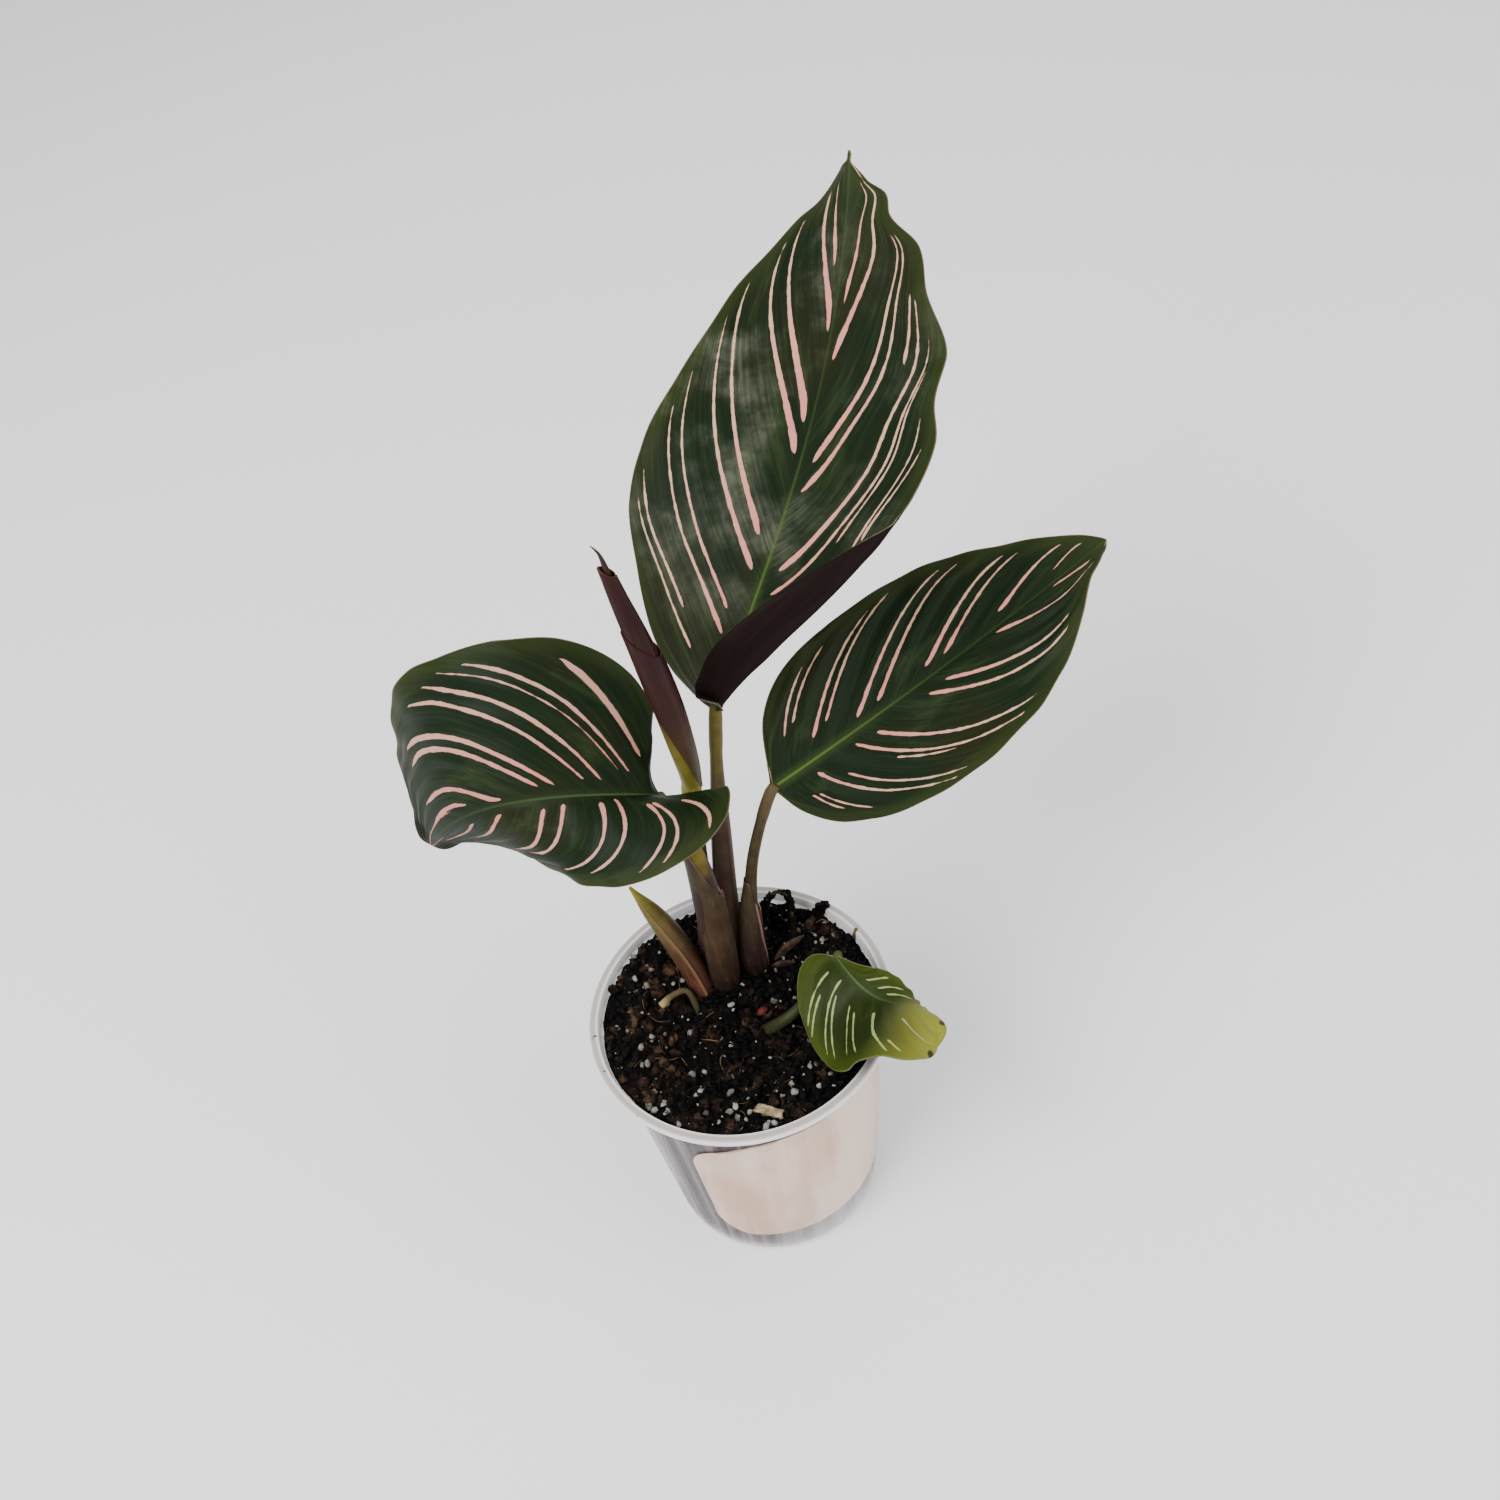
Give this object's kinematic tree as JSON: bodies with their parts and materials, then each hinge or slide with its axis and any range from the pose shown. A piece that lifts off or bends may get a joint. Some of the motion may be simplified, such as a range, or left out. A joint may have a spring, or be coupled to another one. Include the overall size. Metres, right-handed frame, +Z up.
{
  "type": "potted pinstripe calathea",
  "caption": "Young pinstripe calathea with broad pink-striped leaves, a rolled new leaf and a shoot, rooted in a clear-walled nursery pot with a blank label.",
  "frame": {"origin": "middle of the pot's underside, on the surface that it stands on", "axes": "+Z up through the pot's axis, +X to the right and +Y away from the viewer, towards the tall leaf's tip"},
  "size_m": [0.1394, 0.1256, 0.1804],
  "materials": {
    "pot_plastic": "milky clear moulded plastic",
    "label_paper": "blank, lightly coated",
    "potting_mix": "moist crumbly peat with white perlite",
    "rhizome": "pale, slightly rough",
    "leaf": "satin dark green with pink pinstripes above, maroon below",
    "stem": "satin, purple-brown to olive",
    "furled_leaf": "satin burgundy",
    "shoot": "satin, reddish brown to yellow-green",
    "stub": "dry, pale olive"
  },
  "bodies": {
    "root": {"pot": "pot_plastic", "pot_label": "label_paper", "potting_mix": "potting_mix", "rhizome": "rhizome", "tall_leaf_blade": "leaf", "right_leaf_blade": "leaf", "left_leaf_blade": "leaf", "small_leaf_blade": "leaf", "tall_leaf_petiole": "stem", "right_leaf_petiole": "stem", "left_leaf_petiole": "stem", "small_leaf_petiole": "stem", "furled_leaf_petiole": "stem", "furled_leaf": "furled_leaf", "young_shoot": "shoot", "old_stub": "stub"}
  },
  "joints": []
}
